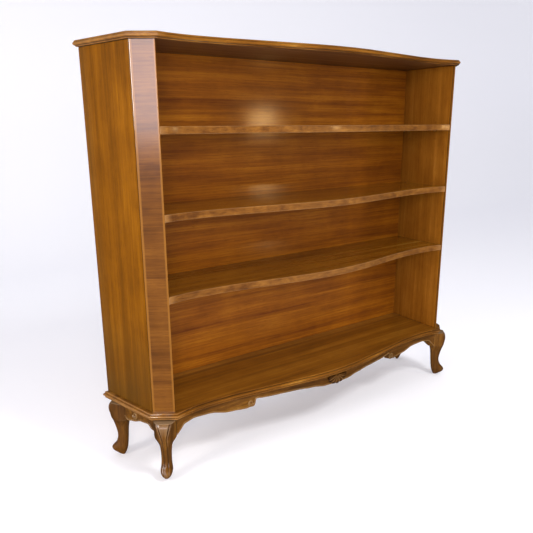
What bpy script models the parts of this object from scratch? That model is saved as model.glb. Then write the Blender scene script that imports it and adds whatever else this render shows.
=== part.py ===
"""Walnut bookcase with three adjustable shelves on brass pins, canted corner posts and cabriole legs.

Frame: metres, +Z up, floor at Z = 0, front towards -Y, left-right symmetric. The origin is on the floor
under the middle of the case's overall depth, so the back plane is at Y = BACK_Y.
"""
import bpy
import bmesh
from math import atan2, cos, hypot, pi, radians, sin, tan
from mathutils import Vector

# ---- driving dimensions (metres, radians) ----
CASE_WIDTH = 1.500          # outer width across the back edge of the side panels
CASE_DEPTH = 0.300          # back plane to the front corner of a corner post
OPENING_HEIGHT = 1.072      # base board to underside of top
SIDE_SPLAY = radians(5.0)   # side panels flare outwards towards the back
CANT_ACROSS = 0.057         # corner post face, measured along the front
CANT_BACK = 0.045           # corner post face, measured front to back
SIDE_THICKNESS = 0.0085
LINING_THICKNESS = 0.013    # inner face of each side, measured across the case
POST_THICKNESS = 0.016
POST_EDGE = 0.012           # corner post's own share of the side's inner face
BACK_THICKNESS = 0.012
BACK_INSET = 0.004          # back panel's rear face in front of the back plane
TOP_THICKNESS = 0.018
TOP_OVERHANG = 0.017
BASE_THICKNESS = 0.024
BASE_OVERHANG = 0.019
LEG_HEIGHT = 0.200          # floor to underside of base board
LEG_FACE_INSET = 0.0008     # leg's flanks inside the ends of the corner post's face
LEG_BLOCK_DEPTH = 0.045     # leg top, inwards from the corner face
REAR_LEG_IN = 0.018         # rear leg's centre from the side panel's outer face
REAR_LEG_FORWARD = 0.052    # rear leg's centre from the back plane

# serpentine front: a cosine swing about a mid line, running out to the post's corner at each end
SWEEP_LEAD = 0.0175         # mid line in front of the post's corner
SWEEP_BOW = 0.0325          # swing to either side of the mid line
SWEEP_EAR = 0.110           # length at each end over which the curve runs out
FRONT_STEPS = 36
SWEEP_END_STEP = 0.012      # no curve point nearer than this to a sweep's end

SHELF_THICKNESS = 0.022
LIPPING_DEPTH = 0.009
CLEAR_HEIGHT = 0.220        # over each shelf
SHELF_NAMES = ("upper", "middle", "lower")
SHELF_SIDE_FIT = 0.0020     # shelf end to lining
SHELF_BACK_FIT = 0.0020
SHELF_FRONT_SET = 0.004     # shelf edge behind the sweep

PIN_RADIUS = 0.0025
PIN_REACH = 0.010           # under the shelf
PIN_INSERT = 0.009          # in the lining
HOLE_FIT = 0.0004           # hole's radius over the pin's
HOLE_END_FIT = 0.0010       # hole's bottom beyond the pin's end
HOLE_PITCH = 0.032
PIN_BACK_MARGIN = 0.060     # rear row of holes, from the back plane
PIN_POST_MARGIN = 0.040     # front row of holes, from the corner post

APRON_THICKNESS = 0.020
APRON_SETBACK = 0.002       # apron face behind the case outline
APRON_STEP = 0.05           # longest step along the front apron, as a share of half its length
SIDE_APRON_STEPS = 16
# lower edges: share of the length, drop below the base board; the front one starts at the middle
FRONT_APRON_EDGE = ((0.0, 0.038), (0.097, 0.036), (0.164, 0.029), (0.283, 0.0235), (0.432, 0.0225),
                    (0.525, 0.020), (0.537, 0.043), (0.584, 0.047), (0.678, 0.043), (0.805, 0.027),
                    (0.895, 0.024), (0.954, 0.031), (1.0, 0.058))
SIDE_APRON_EDGE = ((0.0, 0.042), (0.12, 0.050), (0.30, 0.043), (0.62, 0.029), (0.82, 0.026), (1.0, 0.042))
REAR_RAIL_HEIGHT = 0.050
REAR_RAIL_THICKNESS = 0.020
BLOCK_SIZE = 0.034
BLOCK_HEIGHT = 0.045
SHELL_HALF_WIDTH = 0.048
SHELL_HEIGHT = 0.034
SHELL_DROP = 0.006          # shell's straight upper edge below the base board
SHELL_DEPTH = 0.007

SCREW_RADIUS = 0.0018
SCREW_HEAD_RADIUS = 0.0038
SCREW_HEAD_HEIGHT = 0.0022
SCREW_LENGTH = 0.022
SCREW_FIT = 0.0004          # hole's radius over the screw's
SCREW_END_MARGIN = 0.090    # first and last back screw, from the ends of the side panel
SCREWS_PER_SIDE = 3

GAP = 0.0003                # between pieces that touch
ROUND_SIDES = 12

# ---- places worked out from them ----
SWEEP_MID = CASE_DEPTH + SWEEP_LEAD
BACK_Y = (SWEEP_MID + SWEEP_BOW + BASE_OVERHANG) / 2
BASE_TOP = LEG_HEIGHT + BASE_THICKNESS
OPENING_TOP = BASE_TOP + OPENING_HEIGHT
CANT_ANGLE = atan2(CANT_BACK, CANT_ACROSS)
LEG_HALF_WIDTH = hypot(CANT_BACK, CANT_ACROSS) / 2 - LEG_FACE_INSET
HOLE_RADIUS = PIN_RADIUS + HOLE_FIT
HOLE_DEPTH = PIN_INSERT + HOLE_END_FIT
SCREW_HOLE_RADIUS = SCREW_RADIUS + SCREW_FIT
POST_RUN = CASE_DEPTH - CANT_BACK   # side panel and post meet this far forward of the back plane
BACK_FRONT_RUN = BACK_INSET + BACK_THICKNESS
PIN_RUNS = (("back", PIN_BACK_MARGIN), ("front", POST_RUN - PIN_POST_MARGIN))


def side_x(run, inset=0.0):
    """X on the left side panel, a distance forward of the back plane, inset from its outer face."""
    return -CASE_WIDTH / 2 + run * tan(SIDE_SPLAY) + inset / cos(SIDE_SPLAY)


POST_BACK = Vector((side_x(POST_RUN), BACK_Y - POST_RUN))
POST_FRONT = POST_BACK + Vector((CANT_ACROSS, -CANT_BACK))
LINING_REAR = Vector((side_x(BACK_FRONT_RUN + GAP, SIDE_THICKNESS) + GAP, BACK_Y - BACK_FRONT_RUN - GAP))
INNER_REAR = LINING_REAR + Vector((LINING_THICKNESS, 0.0))      # the case's inner face runs from here ...
INNER_FORWARD = (POST_FRONT - INNER_REAR).normalized()          # ... straight to the post's front corner
INNER_INWARD = Vector((-INNER_FORWARD.y, INNER_FORWARD.x))
CANT_ALONG = (POST_FRONT - POST_BACK).normalized()
CANT_INWARD = Vector((-CANT_ALONG.y, CANT_ALONG.x))
SIDE_FORWARD = Vector((sin(SIDE_SPLAY), -cos(SIDE_SPLAY)))
SIDE_INWARD = Vector((cos(SIDE_SPLAY), sin(SIDE_SPLAY)))
SWEEP_HALF = -POST_FRONT.x - SWEEP_EAR      # half a wave of the swing, from the middle of the front


def sweep_depth(x):
    """Depth of the serpentine front at x: bowed in the middle, hollow near the posts."""
    def wave(place):
        return SWEEP_MID + SWEEP_BOW * cos(pi * place / SWEEP_HALF)
    end = -POST_FRONT.x
    place = min(abs(x), end)
    ear = max(0.0, (place - (end - SWEEP_EAR)) / SWEEP_EAR)
    return wave(place) + (CASE_DEPTH - wave(end)) * ear * ear


def meet(point_a, along_a, point_b, along_b):
    """Point where two lines in plan cross."""
    across = Vector((-along_b.y, along_b.x))
    return point_a + along_a * ((point_b - point_a).dot(across) / along_a.dot(across))


def sweep_end(flank, along, front_run):
    """Where the sweep, set back by a run, meets a line in plan."""
    depth = CASE_DEPTH
    for _ in range(6):
        spot = meet(flank, along, Vector((0.0, BACK_Y - depth + front_run)), Vector((1.0, 0.0)))
        depth = sweep_depth(spot.x)
    return spot


def sweep_points(tip_x, front_run):
    """The sweep in plan between two ends, set back by a run; all sweeps share the same places across."""
    grid = [POST_FRONT.x * (1.0 - 2.0 * n / FRONT_STEPS) for n in range(FRONT_STEPS + 1)]
    inside = [x for x in grid if abs(x) < abs(tip_x) - SWEEP_END_STEP]
    return [Vector((x, BACK_Y - sweep_depth(x) + front_run)) for x in [tip_x] + inside + [-tip_x]]


def mirrored(points):
    """The same plan outline on the other side of the case."""
    return [Vector((-p.x, p.y)) for p in reversed(points)]


def case_outline(offset):
    """Plan outline of the case, moved outwards by an offset except at the back."""
    side_start = Vector((side_x(0.0), BACK_Y)) - SIDE_INWARD * offset
    cant_start = POST_BACK - CANT_INWARD * offset
    back = meet(side_start, SIDE_FORWARD, Vector((0.0, BACK_Y)), Vector((1.0, 0.0)))
    corner = meet(side_start, SIDE_FORWARD, cant_start, CANT_ALONG)
    front = meet(cant_start, CANT_ALONG, Vector((0.0, BACK_Y - CASE_DEPTH - offset)), Vector((1.0, 0.0)))
    left = [back, corner]
    return left + sweep_points(front.x, -offset) + mirrored(left)


# ---- mesh tools ----
def material(name, colour, roughness, metallic=0.0):
    made = bpy.data.materials.new(name)
    made.use_nodes = True
    shader = made.node_tree.nodes["Principled BSDF"]
    shader.inputs["Base Color"].default_value = (*colour, 1.0)
    shader.inputs["Roughness"].default_value = roughness
    shader.inputs["Metallic"].default_value = metallic
    return made


def loft(rings):
    """Closed solid through rings of points: the first ring's face is extruded from ring to ring."""
    bm = bmesh.new()
    first = bm.faces.new([bm.verts.new(point) for point in rings[0]])
    face = first
    for ring in rings[1:]:
        made = bmesh.ops.extrude_face_region(bm, geom=[face], use_keep_orig=True)
        if face is not first:
            bm.faces.remove(face)
        face = next(item for item in made["geom"] if isinstance(item, bmesh.types.BMFace))
        for vert, point in zip(face.verts, ring):
            vert.co = point
    bmesh.ops.recalc_face_normals(bm, faces=bm.faces)
    return bm


def level(outline, z):
    return [Vector((p.x, p.y, z)) for p in outline]


def prism(outline, low, high):
    return loft([level(outline, low), level(outline, high)])


def circle(radius, x):
    """Ring of points round the X axis."""
    turn = 2.0 * pi / ROUND_SIDES
    return [Vector((x, radius * cos(turn * n), radius * sin(turn * n))) for n in range(ROUND_SIDES)]


def place(name, bm, finish, location=(0.0, 0.0, 0.0), turn=0.0, parent=None):
    """Make a named object from a bmesh; the bmesh is in the object's own frame."""
    mesh = bpy.data.meshes.new(name)
    bm.to_mesh(mesh)
    bm.free()
    return place_mesh(name, mesh, finish, location, turn, parent)


def place_mesh(name, mesh, finish, location, turn=0.0, parent=None):
    made = bpy.data.objects.new(name, mesh)
    bpy.context.scene.collection.objects.link(made)
    if not mesh.materials:
        mesh.materials.append(finish)
    made.location = location
    made.rotation_euler = (0.0, 0.0, turn)
    made.parent = parent
    return made


def cut(target, name, rods, centre):
    """Cut round holes: each rod is (start, along, length, radius) in world space."""
    bm = bmesh.new()
    for start, along, length, radius in rods:
        made = bmesh.ops.create_cone(bm, cap_ends=True, segments=ROUND_SIDES, radius1=radius,
                                     radius2=radius, depth=length)
        turn = along.to_track_quat("Z", "Y").to_matrix()
        bmesh.ops.rotate(bm, verts=made["verts"], matrix=turn, cent=(0.0, 0.0, 0.0))
        bmesh.ops.translate(bm, verts=made["verts"], vec=start + along * length / 2 - centre)
    cutter = place(name, bm, WALNUT_PANEL, centre)
    cutter.hide_render = True
    cutter.display_type = "WIRE"
    modifier = target.modifiers.new("holes", "BOOLEAN")
    modifier.operation = "DIFFERENCE"
    modifier.solver = "EXACT"
    modifier.object = cutter


# ---- case ----
def post_outline():
    return [POST_BACK, POST_FRONT, POST_FRONT - INNER_FORWARD * POST_EDGE,
            POST_BACK + CANT_INWARD * POST_THICKNESS]


def side_outline():
    """Side panel in plan, mitred against the post."""
    clear = POST_BACK - SIDE_FORWARD * GAP
    inner_start = Vector((side_x(0.0, SIDE_THICKNESS), BACK_Y))
    mitre = meet(clear, CANT_INWARD, inner_start, SIDE_FORWARD)
    return [Vector((side_x(0.0), BACK_Y)), clear, mitre, inner_start]


def lining_outline():
    """Lining in plan: from the back panel to the post, whose rear face it is cut to."""
    post = post_outline()
    post_rear = (post[3] - post[2]).normalized()
    clear = post[2] + Vector((-post_rear.y, post_rear.x)) * -GAP
    inner_end = meet(INNER_REAR, INNER_FORWARD, clear, post_rear)
    outer_end = meet(LINING_REAR, INNER_FORWARD, clear, post_rear)
    return [LINING_REAR, outer_end, inner_end, INNER_REAR]


def inner_spot(run):
    """Point on the left side's inner face, a distance forward of the back plane."""
    return meet(INNER_REAR, INNER_FORWARD, Vector((0.0, BACK_Y - run)), Vector((1.0, 0.0)))


def hole_heights(shelf_bottom):
    pin = shelf_bottom - PIN_RADIUS - GAP
    return [pin + HOLE_PITCH * n for n in (-1, 0, 1)]


def shelf_bottoms():
    """Underside height of each shelf, upper one first."""
    heights = []
    top = OPENING_TOP
    for _ in SHELF_NAMES:
        top -= CLEAR_HEIGHT + SHELF_THICKNESS
        heights.append(top)
    return heights


def screw_heights():
    low = BASE_TOP + SCREW_END_MARGIN
    high = OPENING_TOP - SCREW_END_MARGIN
    return [low + (high - low) * n / (SCREWS_PER_SIDE - 1) for n in range(SCREWS_PER_SIDE)]


def screw_x(sign):
    return sign * (LINING_REAR.x + LINING_THICKNESS / 2)


def make_case():
    low = BASE_TOP + GAP
    high = OPENING_TOP - GAP
    for side, sign in (("left", 1), ("right", -1)):
        plans = [plan if sign == 1 else mirrored(plan)
                 for plan in (side_outline(), post_outline(), lining_outline())]
        place("side_panel_" + side, prism(plans[0], low, high), WALNUT_PANEL)
        place("corner_post_" + side, prism(plans[1], low, high), WALNUT_SOLID)
        lining = place("side_lining_" + side, prism(plans[2], low, high), WALNUT_PANEL)
        inward = Vector((sign * INNER_INWARD.x, INNER_INWARD.y, 0.0))
        rods = []
        for _, run in PIN_RUNS:
            for bottom in shelf_bottoms():
                for z in hole_heights(bottom):
                    mouth = Vector((sign * inner_spot(run).x, BACK_Y - run, z))
                    rods.append((mouth - inward * HOLE_DEPTH, inward, 2.0 * HOLE_DEPTH, HOLE_RADIUS))
        for z in screw_heights():
            tip = Vector((screw_x(sign), BACK_Y - BACK_INSET - SCREW_LENGTH - HOLE_END_FIT, z))
            rods.append((tip, Vector((0.0, 1.0, 0.0)), 2.0 * SCREW_LENGTH, SCREW_HOLE_RADIUS))
        cut(lining, "cutter_side_" + side, rods, Vector((sign * side_x(0.0), BACK_Y, BASE_TOP)))

    edge = -side_x(BACK_FRONT_RUN, SIDE_THICKNESS) - GAP
    rear = BACK_Y - BACK_INSET
    front = BACK_Y - BACK_FRONT_RUN
    plan = [Vector((-edge, rear)), Vector((-edge, front)), Vector((edge, front)), Vector((edge, rear))]
    back = place("back_panel", prism(plan, low, high), WALNUT_PANEL)
    rods = []
    for sign in (1, -1):
        for z in screw_heights():
            start = Vector((screw_x(sign), front - BACK_THICKNESS, z))
            rods.append((start, Vector((0.0, 1.0, 0.0)), 3.0 * BACK_THICKNESS, SCREW_HOLE_RADIUS))
    cut(back, "cutter_back", rods, Vector((0.0, BACK_Y, BASE_TOP)))

    # base board: round nose, groove and lower bead, seen from the top down
    edge_profile = ((1.0, 0.00), (0.93, 0.62), (0.78, 0.93), (0.60, 1.00), (0.45, 0.88),
                    (0.38, 0.60), (0.28, 0.66), (0.13, 0.58), (0.0, 0.22))
    rings = []
    for height, out in reversed(edge_profile):
        rings.append(level(case_outline(BASE_OVERHANG * out), LEG_HEIGHT + BASE_THICKNESS * height))
    place("base_board", loft(rings), WALNUT_SOLID)

    # top: small cove below a thumb-moulded nose
    edge_profile = ((0.0, 0.55), (0.12, 0.80), (0.35, 0.98), (0.58, 1.00), (0.80, 0.88), (0.94, 0.66),
                    (1.0, 0.40))
    rings = [level(case_outline(TOP_OVERHANG * out), OPENING_TOP + TOP_THICKNESS * height)
             for height, out in edge_profile]
    place("top_panel", loft(rings), WALNUT_PANEL)


def make_back_screws():
    shank = SCREW_LENGTH - SCREW_HEAD_HEIGHT
    rings = [circle(SCREW_HEAD_RADIUS, GAP + SCREW_HEAD_HEIGHT), circle(SCREW_HEAD_RADIUS, GAP),
             circle(SCREW_RADIUS, GAP), circle(SCREW_RADIUS, -shank), circle(SCREW_RADIUS / 3, -SCREW_LENGTH)]
    seat = BACK_Y - BACK_INSET
    for side, sign in (("left", 1), ("right", -1)):
        for number, z in enumerate(screw_heights(), start=1):
            name = "back_screw_%s_%d" % (side, number)
            place(name, loft(rings), STEEL, (screw_x(sign), seat, z), pi / 2)


# ---- shelves and pins ----
def shelf_plan(front_run):
    """Shelf outline in plan, up to a front edge that lies a distance behind the sweep."""
    flank = INNER_REAR + INNER_INWARD * SHELF_SIDE_FIT
    back_line = Vector((0.0, BACK_Y - BACK_FRONT_RUN - SHELF_BACK_FIT))
    rear = meet(flank, INNER_FORWARD, back_line, Vector((1.0, 0.0)))
    tip = sweep_end(flank, INNER_FORWARD, front_run)
    return [rear] + sweep_points(tip.x, front_run) + mirrored([rear])


def lipping_plan():
    """Strip along the shelf's front: the sweep in front, the shelf's edge behind."""
    outer = shelf_plan(SHELF_FRONT_SET)[1:-1]
    inner = shelf_plan(SHELF_FRONT_SET + LIPPING_DEPTH)[1:-1]
    return outer + list(reversed(inner))


def make_shelves():
    shared = {}
    centre = BACK_Y - CASE_DEPTH / 2
    for name, bottom in zip(SHELF_NAMES, shelf_bottoms()):
        holder = bpy.data.objects.new("shelf_%s_slide" % name, None)
        holder.location = (0.0, centre, bottom)
        bpy.context.scene.collection.objects.link(holder)
        for piece, plan in (("shelf", shelf_plan(SHELF_FRONT_SET + LIPPING_DEPTH + GAP)),
                            ("lipping", lipping_plan())):
            local = [Vector((p.x, p.y - centre)) for p in plan]
            finish = WALNUT_PANEL if piece == "shelf" else WALNUT_LIPPING
            full_name = "shelf_" + name if piece == "shelf" else "shelf_lipping_" + name
            if piece not in shared:
                made = place(full_name, prism(local, 0.0, SHELF_THICKNESS), finish, parent=holder)
                shared[piece] = made.data
            else:
                place_mesh(full_name, shared[piece], finish, (0.0, 0.0, 0.0), parent=holder)


def make_pins():
    tip = PIN_RADIUS * 0.75
    chamfer = PIN_RADIUS * 0.4
    rings = [circle(tip, -PIN_INSERT), circle(PIN_RADIUS, chamfer - PIN_INSERT),
             circle(PIN_RADIUS, PIN_REACH - chamfer), circle(tip, PIN_REACH)]
    inward_turn = atan2(INNER_INWARD.y, INNER_INWARD.x)
    mesh = None
    for name, bottom in zip(SHELF_NAMES, shelf_bottoms()):
        for side, sign, turn in (("left", 1, inward_turn), ("right", -1, pi - inward_turn)):
            for end, run in PIN_RUNS:
                full_name = "shelf_pin_%s_%s_%s" % (name, side, end)
                mouth = (sign * inner_spot(run).x, BACK_Y - run, bottom - PIN_RADIUS - GAP)
                if mesh is None:
                    mesh = place(full_name, loft(rings), BRASS, mouth, turn).data
                else:
                    place_mesh(full_name, mesh, BRASS, mouth, turn)


# ---- underframe ----
def leg_ring(z, inner, outer, half, square):
    """Section of a leg at a height: a rounded square between two depths, half a width to each side."""
    ring = []
    middle = (inner + outer) / 2
    depth = (outer - inner) / 2
    count = ROUND_SIDES + 4
    for n in range(count):
        angle = 2.0 * pi * (n + 0.5) / count
        swell = (abs(cos(angle)) ** square + abs(sin(angle)) ** square) ** (-1.0 / square)
        ring.append(Vector((half * swell * cos(angle), -middle - depth * swell * sin(angle), z)))
    return ring


def leg_mesh():
    """Cabriole leg pointing to -Y: knee under the base, slim ankle, scrolled foot; z from the floor."""
    half = LEG_HALF_WIDTH
    top = LEG_HEIGHT - GAP
    # share of the height, inner depth, outer depth, half width, squareness
    stations = ((0.000, 0.004, 0.016, 0.006, 2.2), (0.030, 0.000, 0.027, 0.011, 2.2),
                (0.070, -0.004, 0.039, 0.016, 2.4), (0.120, -0.007, 0.0445, 0.0195, 2.6),
                (0.165, -0.009, 0.041, 0.0195, 2.6), (0.240, -0.011, 0.028, 0.018, 2.6),
                (0.340, -0.013, 0.021, 0.017, 2.6), (0.470, -0.015, 0.0235, 0.0178, 2.8),
                (0.600, -0.018, 0.0305, half - 0.0115, 3.2), (0.690, -0.022, 0.0370, half - 0.0030, 4.0),
                (0.780, -0.030, 0.0420, half, 6.0), (0.860, -0.038, 0.0440, half, 8.0),
                (0.940, -LEG_BLOCK_DEPTH, 0.0420, half, 8.0), (1.000, -LEG_BLOCK_DEPTH, 0.0340, half, 8.0))
    return loft([leg_ring(top * share, inner, outer, wide, square)
                 for share, inner, outer, wide, square in stations])


def rear_leg_centre():
    return Vector((side_x(REAR_LEG_FORWARD, REAR_LEG_IN), BACK_Y - REAR_LEG_FORWARD))


def make_legs():
    front = (POST_BACK + POST_FRONT) / 2
    rear = rear_leg_centre()
    mesh = None
    for name, at, turn in (("front_left", front, -CANT_ANGLE), ("front_right", front, CANT_ANGLE),
                           ("rear_left", rear, -pi * 3 / 4), ("rear_right", rear, pi * 3 / 4)):
        sign = 1 if name.endswith("left") else -1
        spot = (sign * at.x, at.y, 0.0)
        if mesh is None:
            mesh = place("leg_" + name, leg_mesh(), WALNUT_SOLID, spot, turn).data
        else:
            place_mesh("leg_" + name, mesh, WALNUT_SOLID, spot, turn)


def scallop(place_along, points):
    """Smooth height between neighbouring (place, height) points, flat at each one."""
    for (start, low), (end, high) in zip(points, points[1:]):
        if start <= place_along <= end:
            share = (place_along - start) / (end - start)
            ease = share * share * (3.0 - 2.0 * share)
            return low + (high - low) * ease
    return points[-1][1]


def make_aprons():
    top = LEG_HEIGHT - GAP
    # front apron: its ends follow the front legs' flanks
    flank = POST_FRONT + CANT_ALONG * GAP
    corner = sweep_end(flank, CANT_INWARD, APRON_SETBACK)
    outer_end = -corner.x
    inner_end = -(corner + CANT_INWARD * APRON_THICKNESS / CANT_INWARD.y).x
    shares = [1.0]
    for (start, _), (end, _) in zip(FRONT_APRON_EDGE, FRONT_APRON_EDGE[1:]):
        steps = 1 + round((end - start) / APRON_STEP)
        shares += [start + (end - start) * n / steps for n in range(steps)]
    rings = []
    for share in sorted(set(shares + [-share for share in shares])):
        x = share * outer_end
        inner_x = share * inner_end
        low = top - scallop(abs(share), FRONT_APRON_EDGE)
        front = BACK_Y - sweep_depth(x) + APRON_SETBACK
        rear = front + APRON_THICKNESS
        rings.append([Vector((x, front, top)), Vector((x, front, low)),
                      Vector((inner_x, rear, low)), Vector((inner_x, rear, top))])
    place("apron_front", loft(rings), WALNUT_SOLID)

    # side aprons: from the rear leg's flank to the front leg's flank
    outer_start = Vector((side_x(0.0, APRON_SETBACK), BACK_Y))
    inner_start = Vector((side_x(0.0, APRON_SETBACK + APRON_THICKNESS), BACK_Y))
    rear = rear_leg_centre()
    flank = Vector((-1.0, -1.0)).normalized()
    rear_flank = rear + flank * (LEG_HALF_WIDTH + GAP)
    along_flank = Vector((-1.0, 1.0)).normalized()
    front_flank = POST_BACK - CANT_ALONG * GAP
    ends = []
    for start in (outer_start, inner_start):
        ends.append((meet(start, SIDE_FORWARD, rear_flank, along_flank),
                     meet(start, SIDE_FORWARD, front_flank, CANT_INWARD)))
    for side, sign in (("left", 1), ("right", -1)):
        rings = []
        for n in range(SIDE_APRON_STEPS + 1):
            share = n / SIDE_APRON_STEPS
            low = top - scallop(share, SIDE_APRON_EDGE)
            outer, inner = (a.lerp(b, share) for a, b in ends)
            rings.append([Vector((sign * outer.x, outer.y, top)), Vector((sign * outer.x, outer.y, low)),
                          Vector((sign * inner.x, inner.y, low)), Vector((sign * inner.x, inner.y, top))])
        place("apron_" + side, loft(rings), WALNUT_SOLID)

    # rear rail between the rear legs' other flanks
    other_flank = rear - flank * (LEG_HALF_WIDTH + GAP)
    plan = []
    for run in (BACK_INSET, BACK_INSET + REAR_RAIL_THICKNESS):
        plan.append(meet(Vector((0.0, BACK_Y - run)), Vector((1.0, 0.0)), other_flank, along_flank))
    plan += mirrored(plan)
    place("rail_rear", prism(plan, top - REAR_RAIL_HEIGHT, top), PINE)


def make_shell():
    """Carved shell on the middle of the front apron: a half round under a straight upper edge."""
    outline = []
    for n in range(ROUND_SIDES + 1):
        angle = pi + pi * n / ROUND_SIDES
        outline.append((SHELL_HALF_WIDTH * cos(angle), SHELL_HEIGHT * sin(angle)))
    rings = []
    for out, size in ((0.0, 1.0), (0.6, 0.94), (1.0, 0.72)):
        sink = (1.0 - size) * SHELL_HEIGHT / 3
        rings.append([Vector((x * size, -out * SHELL_DEPTH, z * size - sink)) for x, z in outline])
    face = BACK_Y - sweep_depth(0.0) + APRON_SETBACK - GAP
    place("shell_carving", loft(rings), WALNUT_SOLID, (0.0, face, LEG_HEIGHT - SHELL_DROP))


def make_blocks():
    """Glue blocks in the inner corners between the legs and the aprons."""
    top = LEG_HEIGHT - GAP
    front = (POST_BACK + POST_FRONT) / 2 + CANT_INWARD * (LEG_BLOCK_DEPTH + GAP + BLOCK_SIZE / 2)
    rear = rear_leg_centre() + Vector((1.0, -1.0)).normalized() * (LEG_BLOCK_DEPTH + GAP + BLOCK_SIZE / 2)
    for name, at, turn in (("front_left", front, -CANT_ANGLE), ("front_right", front, CANT_ANGLE),
                           ("rear_left", rear, pi / 4), ("rear_right", rear, -pi / 4)):
        sign = 1 if name.endswith("left") else -1
        half = BLOCK_SIZE / 2
        plan = [Vector((-half, -half)), Vector((half, -half)), Vector((half, half)), Vector((-half, half))]
        place("glue_block_" + name, prism(plan, -BLOCK_HEIGHT, 0.0), PINE, (sign * at.x, at.y, top), turn)


for old in list(bpy.data.objects):
    bpy.data.objects.remove(old, do_unlink=True)

WALNUT_PANEL = material("walnut_veneer", (0.30, 0.13, 0.035), 0.25)
WALNUT_SOLID = material("walnut_solid", (0.27, 0.11, 0.03), 0.28)
WALNUT_LIPPING = material("walnut_lipping", (0.42, 0.20, 0.06), 0.30)
PINE = material("pine_unfinished", (0.55, 0.38, 0.20), 0.75)
BRASS = material("brass_turned", (0.72, 0.52, 0.22), 0.30, 1.0)
STEEL = material("steel_screw", (0.45, 0.44, 0.42), 0.40, 1.0)

make_case()
make_back_screws()
make_shelves()
make_pins()
make_legs()
make_aprons()
make_shell()
make_blocks()
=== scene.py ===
from math import cos, exp, pi, radians, sin

import bmesh
import bpy
from mathutils import Matrix, Vector


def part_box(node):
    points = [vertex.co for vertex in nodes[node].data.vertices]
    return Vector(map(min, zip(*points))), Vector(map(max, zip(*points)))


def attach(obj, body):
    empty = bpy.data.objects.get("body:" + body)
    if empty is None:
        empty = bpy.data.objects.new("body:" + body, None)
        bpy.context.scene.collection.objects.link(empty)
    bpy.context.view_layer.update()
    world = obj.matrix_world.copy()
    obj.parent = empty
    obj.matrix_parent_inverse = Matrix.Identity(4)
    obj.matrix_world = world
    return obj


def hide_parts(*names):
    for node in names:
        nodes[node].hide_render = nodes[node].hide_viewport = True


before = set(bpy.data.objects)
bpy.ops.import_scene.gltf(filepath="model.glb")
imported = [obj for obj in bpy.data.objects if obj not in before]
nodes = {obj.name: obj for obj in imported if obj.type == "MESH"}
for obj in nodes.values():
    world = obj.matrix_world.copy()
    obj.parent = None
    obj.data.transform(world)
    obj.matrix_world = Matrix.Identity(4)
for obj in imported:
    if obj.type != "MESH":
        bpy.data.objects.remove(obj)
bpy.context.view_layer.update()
print("frame loaded:", len(nodes), "nodes")

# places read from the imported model
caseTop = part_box("top_panel")[0].z
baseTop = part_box("base_board")[1].z
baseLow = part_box("base_board")[0].z
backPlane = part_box("top_panel")[1].y
shelfNames = ("upper", "middle", "lower")


def linear(hexColour):   # sRGB hex to linear RGBA
    channels = [int(hexColour[i:i + 2], 16) / 255 for i in (1, 3, 5)]
    return [c / 12.92 if c <= 0.04045 else ((c + 0.055) / 1.055) ** 2.4 for c in channels] + [1.0]


def addNode(tree, kind, sockets=None, **settings):   # one node, its settings, and what feeds its inputs
    node = tree.nodes.new(kind)
    for name, value in settings.items():
        setattr(node, name, value)
    for name, value in (sockets or {}).items():
        if isinstance(value, bpy.types.NodeSocket):
            tree.links.new(value, node.inputs[name])
        else:
            node.inputs[name].default_value = value
    return node


def rampOf(tree, factor, stops):   # colour ramp through (place, hex) stops
    ramp = addNode(tree, "ShaderNodeValToRGB", {"Fac": factor})
    while len(ramp.color_ramp.elements) < len(stops):
        ramp.color_ramp.elements.new(0.5)
    for element, (place, colour) in zip(ramp.color_ramp.elements, stops):
        element.position = place
        element.color = linear(colour)
    return ramp.outputs["Color"]


def newMaterial(name):   # a material with an empty node tree
    made = bpy.data.materials.new(name)
    made.use_nodes = True
    made.node_tree.nodes.clear()
    return made, made.node_tree


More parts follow.
